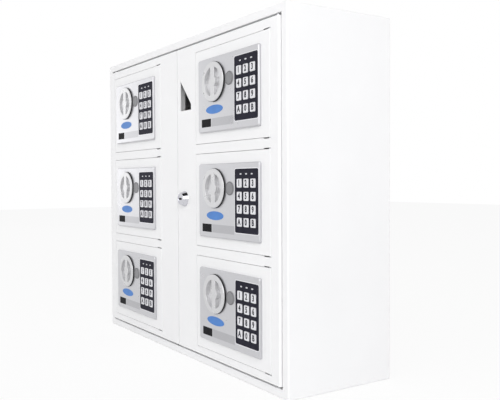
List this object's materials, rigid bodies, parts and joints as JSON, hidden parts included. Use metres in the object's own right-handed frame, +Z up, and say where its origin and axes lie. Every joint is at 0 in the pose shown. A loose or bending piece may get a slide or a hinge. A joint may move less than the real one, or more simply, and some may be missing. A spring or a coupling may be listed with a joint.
{
  "type": "key dispenser",
  "caption": "Steel wall cabinet that hands out keys: two leaves carry small doors with knob and keypad locks, with a return slot and a cam lock.",
  "frame": {"origin": "centre of the cabinet's base, at its underside", "axes": "+X along the front to the right as seen from the front, +Y into the cabinet, +Z up"},
  "size_m": [0.55, 0.191, 0.5],
  "materials": {
    "white_steel": "smooth white powder coat",
    "zinc_steel": "bright zinc plate",
    "chrome": "polished",
    "silver_panel": "fine satin silver paint",
    "silver_knob": "satin silver",
    "black_keypad": "dark blue-black film",
    "key_rubber": "white keys with black numbers",
    "grey_cap": "mid grey moulding",
    "black_case": "fine grained black moulding"
  },
  "bodies": {
    "cabinet": {"cabinet_shell": "white_steel", "leaf_hinge_pins": "zinc_steel"},
    "left_leaf": {"left_leaf": "white_steel", "left_compartments": "white_steel", "left_door_pins": "zinc_steel"},
    "right_leaf": {"right_leaf": "white_steel", "right_compartments": "white_steel", "right_door_pins": "zinc_steel", "cam_lock_body": "chrome"},
    "cam_plug": {"cam_lock_plug": "chrome"},
    "upper_slide_bolt": {"upper_slide_bolt": "zinc_steel"},
    "lower_slide_bolt": {"lower_slide_bolt": "zinc_steel"},
    "left_top_door": {"left_top_door": "white_steel", "left_top_lock_panel": "silver_panel", "left_top_keypad": "black_keypad", "left_top_lock_case": "black_case"},
    "left_top_knob": {"left_top_knob": "silver_knob"},
    "left_top_bolt": {"left_top_bolt": "zinc_steel"},
    "left_top_key_cap": {"left_top_key_cap": "grey_cap"},
    "left_top_keymat": {"left_top_keymat": "key_rubber"},
    "left_middle_door": {"left_middle_door": "white_steel", "left_middle_lock_panel": "silver_panel", "left_middle_keypad": "black_keypad", "left_middle_lock_case": "black_case"},
    "left_middle_knob": {"left_middle_knob": "silver_knob"},
    "left_middle_bolt": {"left_middle_bolt": "zinc_steel"},
    "left_middle_key_cap": {"left_middle_key_cap": "grey_cap"},
    "left_middle_keymat": {"left_middle_keymat": "key_rubber"},
    "left_bottom_door": {"left_bottom_door": "white_steel", "left_bottom_lock_panel": "silver_panel", "left_bottom_keypad": "black_keypad", "left_bottom_lock_case": "black_case"},
    "left_bottom_knob": {"left_bottom_knob": "silver_knob"},
    "left_bottom_bolt": {"left_bottom_bolt": "zinc_steel"},
    "left_bottom_key_cap": {"left_bottom_key_cap": "grey_cap"},
    "left_bottom_keymat": {"left_bottom_keymat": "key_rubber"},
    "right_top_door": {"right_top_door": "white_steel", "right_top_lock_panel": "silver_panel", "right_top_keypad": "black_keypad", "right_top_lock_case": "black_case"},
    "right_top_knob": {"right_top_knob": "silver_knob"},
    "right_top_bolt": {"right_top_bolt": "zinc_steel"},
    "right_top_key_cap": {"right_top_key_cap": "grey_cap"},
    "right_top_keymat": {"right_top_keymat": "key_rubber"},
    "right_middle_door": {"right_middle_door": "white_steel", "right_middle_lock_panel": "silver_panel", "right_middle_keypad": "black_keypad", "right_middle_lock_case": "black_case"},
    "right_middle_knob": {"right_middle_knob": "silver_knob"},
    "right_middle_bolt": {"right_middle_bolt": "zinc_steel"},
    "right_middle_key_cap": {"right_middle_key_cap": "grey_cap"},
    "right_middle_keymat": {"right_middle_keymat": "key_rubber"},
    "right_bottom_door": {"right_bottom_door": "white_steel", "right_bottom_lock_panel": "silver_panel", "right_bottom_keypad": "black_keypad", "right_bottom_lock_case": "black_case"},
    "right_bottom_knob": {"right_bottom_knob": "silver_knob"},
    "right_bottom_bolt": {"right_bottom_bolt": "zinc_steel"},
    "right_bottom_key_cap": {"right_bottom_key_cap": "grey_cap"},
    "right_bottom_keymat": {"right_bottom_keymat": "key_rubber"}
  },
  "joints": [
    {"name": "left_leaf_hinge", "type": "hinge", "parent": "cabinet", "child": "left_leaf", "pos_m": [-0.2519, -0.086, 0.25], "axis": [0, 0, -1], "range_deg": [0, 90]},
    {"name": "right_leaf_hinge", "type": "hinge", "parent": "cabinet", "child": "right_leaf", "pos_m": [0.2519, -0.086, 0.25], "axis": [0, 0, 1], "range_deg": [0, 90]},
    {"name": "cam_turn", "type": "hinge", "parent": "right_leaf", "child": "cam_plug", "pos_m": [0.021, -0.09, 0.25], "axis": [0, 1, 0], "range_deg": [0, 90]},
    {"name": "upper_bolt_slide", "type": "slide", "parent": "left_leaf", "child": "upper_slide_bolt", "axis": [0, 0, 1], "range_m": [0, 0.012]},
    {"name": "lower_bolt_slide", "type": "slide", "parent": "left_leaf", "child": "lower_slide_bolt", "axis": [0, 0, -1], "range_m": [0, 0.012]},
    {"name": "left_top_door_hinge", "type": "hinge", "parent": "left_leaf", "child": "left_top_door", "pos_m": [-0.0622, -0.0894, 0.4022], "axis": [0, 0, 1], "range_deg": [0, 90]},
    {"name": "left_top_knob_turn", "type": "hinge", "parent": "left_top_door", "child": "left_top_knob", "pos_m": [-0.1862, -0.095, 0.4201], "axis": [0, 1, 0], "range_deg": [0, 90]},
    {"name": "left_top_bolt_slide", "type": "slide", "parent": "left_top_door", "child": "left_top_bolt", "axis": [-1, 0, 0], "range_m": [0, 0.01]},
    {"name": "left_top_key_cap_pull", "type": "slide", "parent": "left_top_door", "child": "left_top_key_cap", "axis": [0, -1, 0], "range_m": [0, 0.006]},
    {"name": "left_top_keymat_press", "type": "slide", "parent": "left_top_door", "child": "left_top_keymat", "axis": [0, 1, 0], "range_m": [0, 0.0008], "stiffness_N_per_m": 1000},
    {"name": "left_middle_door_hinge", "type": "hinge", "parent": "left_leaf", "child": "left_middle_door", "pos_m": [-0.0622, -0.0894, 0.249], "axis": [0, 0, 1], "range_deg": [0, 90]},
    {"name": "left_middle_knob_turn", "type": "hinge", "parent": "left_middle_door", "child": "left_middle_knob", "pos_m": [-0.1862, -0.095, 0.2669], "axis": [0, 1, 0], "range_deg": [0, 90]},
    {"name": "left_middle_bolt_slide", "type": "slide", "parent": "left_middle_door", "child": "left_middle_bolt", "axis": [-1, 0, 0], "range_m": [0, 0.01]},
    {"name": "left_middle_key_cap_pull", "type": "slide", "parent": "left_middle_door", "child": "left_middle_key_cap", "axis": [0, -1, 0], "range_m": [0, 0.006]},
    {"name": "left_middle_keymat_press", "type": "slide", "parent": "left_middle_door", "child": "left_middle_keymat", "axis": [0, 1, 0], "range_m": [0, 0.0008], "stiffness_N_per_m": 1000},
    {"name": "left_bottom_door_hinge", "type": "hinge", "parent": "left_leaf", "child": "left_bottom_door", "pos_m": [-0.0622, -0.0894, 0.0958], "axis": [0, 0, 1], "range_deg": [0, 90]},
    {"name": "left_bottom_knob_turn", "type": "hinge", "parent": "left_bottom_door", "child": "left_bottom_knob", "pos_m": [-0.1862, -0.095, 0.1137], "axis": [0, 1, 0], "range_deg": [0, 90]},
    {"name": "left_bottom_bolt_slide", "type": "slide", "parent": "left_bottom_door", "child": "left_bottom_bolt", "axis": [-1, 0, 0], "range_m": [0, 0.01]},
    {"name": "left_bottom_key_cap_pull", "type": "slide", "parent": "left_bottom_door", "child": "left_bottom_key_cap", "axis": [0, -1, 0], "range_m": [0, 0.006]},
    {"name": "left_bottom_keymat_press", "type": "slide", "parent": "left_bottom_door", "child": "left_bottom_keymat", "axis": [0, 1, 0], "range_m": [0, 0.0008], "stiffness_N_per_m": 1000},
    {"name": "right_top_door_hinge", "type": "hinge", "parent": "right_leaf", "child": "right_top_door", "pos_m": [0.2393, -0.0894, 0.4022], "axis": [0, 0, 1], "range_deg": [0, 90]},
    {"name": "right_top_knob_turn", "type": "hinge", "parent": "right_top_door", "child": "right_top_knob", "pos_m": [0.1153, -0.095, 0.4201], "axis": [0, 1, 0], "range_deg": [0, 90]},
    {"name": "right_top_bolt_slide", "type": "slide", "parent": "right_top_door", "child": "right_top_bolt", "axis": [-1, 0, 0], "range_m": [0, 0.01]},
    {"name": "right_top_key_cap_pull", "type": "slide", "parent": "right_top_door", "child": "right_top_key_cap", "axis": [0, -1, 0], "range_m": [0, 0.006]},
    {"name": "right_top_keymat_press", "type": "slide", "parent": "right_top_door", "child": "right_top_keymat", "axis": [0, 1, 0], "range_m": [0, 0.0008], "stiffness_N_per_m": 1000},
    {"name": "right_middle_door_hinge", "type": "hinge", "parent": "right_leaf", "child": "right_middle_door", "pos_m": [0.2393, -0.0894, 0.249], "axis": [0, 0, 1], "range_deg": [0, 90]},
    {"name": "right_middle_knob_turn", "type": "hinge", "parent": "right_middle_door", "child": "right_middle_knob", "pos_m": [0.1153, -0.095, 0.2669], "axis": [0, 1, 0], "range_deg": [0, 90]},
    {"name": "right_middle_bolt_slide", "type": "slide", "parent": "right_middle_door", "child": "right_middle_bolt", "axis": [-1, 0, 0], "range_m": [0, 0.01]},
    {"name": "right_middle_key_cap_pull", "type": "slide", "parent": "right_middle_door", "child": "right_middle_key_cap", "axis": [0, -1, 0], "range_m": [0, 0.006]},
    {"name": "right_middle_keymat_press", "type": "slide", "parent": "right_middle_door", "child": "right_middle_keymat", "axis": [0, 1, 0], "range_m": [0, 0.0008], "stiffness_N_per_m": 1000},
    {"name": "right_bottom_door_hinge", "type": "hinge", "parent": "right_leaf", "child": "right_bottom_door", "pos_m": [0.2393, -0.0894, 0.0958], "axis": [0, 0, 1], "range_deg": [0, 90]},
    {"name": "right_bottom_knob_turn", "type": "hinge", "parent": "right_bottom_door", "child": "right_bottom_knob", "pos_m": [0.1153, -0.095, 0.1137], "axis": [0, 1, 0], "range_deg": [0, 90]},
    {"name": "right_bottom_bolt_slide", "type": "slide", "parent": "right_bottom_door", "child": "right_bottom_bolt", "axis": [-1, 0, 0], "range_m": [0, 0.01]},
    {"name": "right_bottom_key_cap_pull", "type": "slide", "parent": "right_bottom_door", "child": "right_bottom_key_cap", "axis": [0, -1, 0], "range_m": [0, 0.006]},
    {"name": "right_bottom_keymat_press", "type": "slide", "parent": "right_bottom_door", "child": "right_bottom_keymat", "axis": [0, 1, 0], "range_m": [0, 0.0008], "stiffness_N_per_m": 1000}
  ],
  "couplings": [
    {"joint": "left_top_bolt_slide", "follows": "left_top_knob_turn", "m_per_rad": 0.0063661},
    {"joint": "left_middle_bolt_slide", "follows": "left_middle_knob_turn", "m_per_rad": 0.0063661},
    {"joint": "left_bottom_bolt_slide", "follows": "left_bottom_knob_turn", "m_per_rad": 0.0063661},
    {"joint": "right_top_bolt_slide", "follows": "right_top_knob_turn", "m_per_rad": 0.0063661},
    {"joint": "right_middle_bolt_slide", "follows": "right_middle_knob_turn", "m_per_rad": 0.0063661},
    {"joint": "right_bottom_bolt_slide", "follows": "right_bottom_knob_turn", "m_per_rad": 0.0063661}
  ]
}
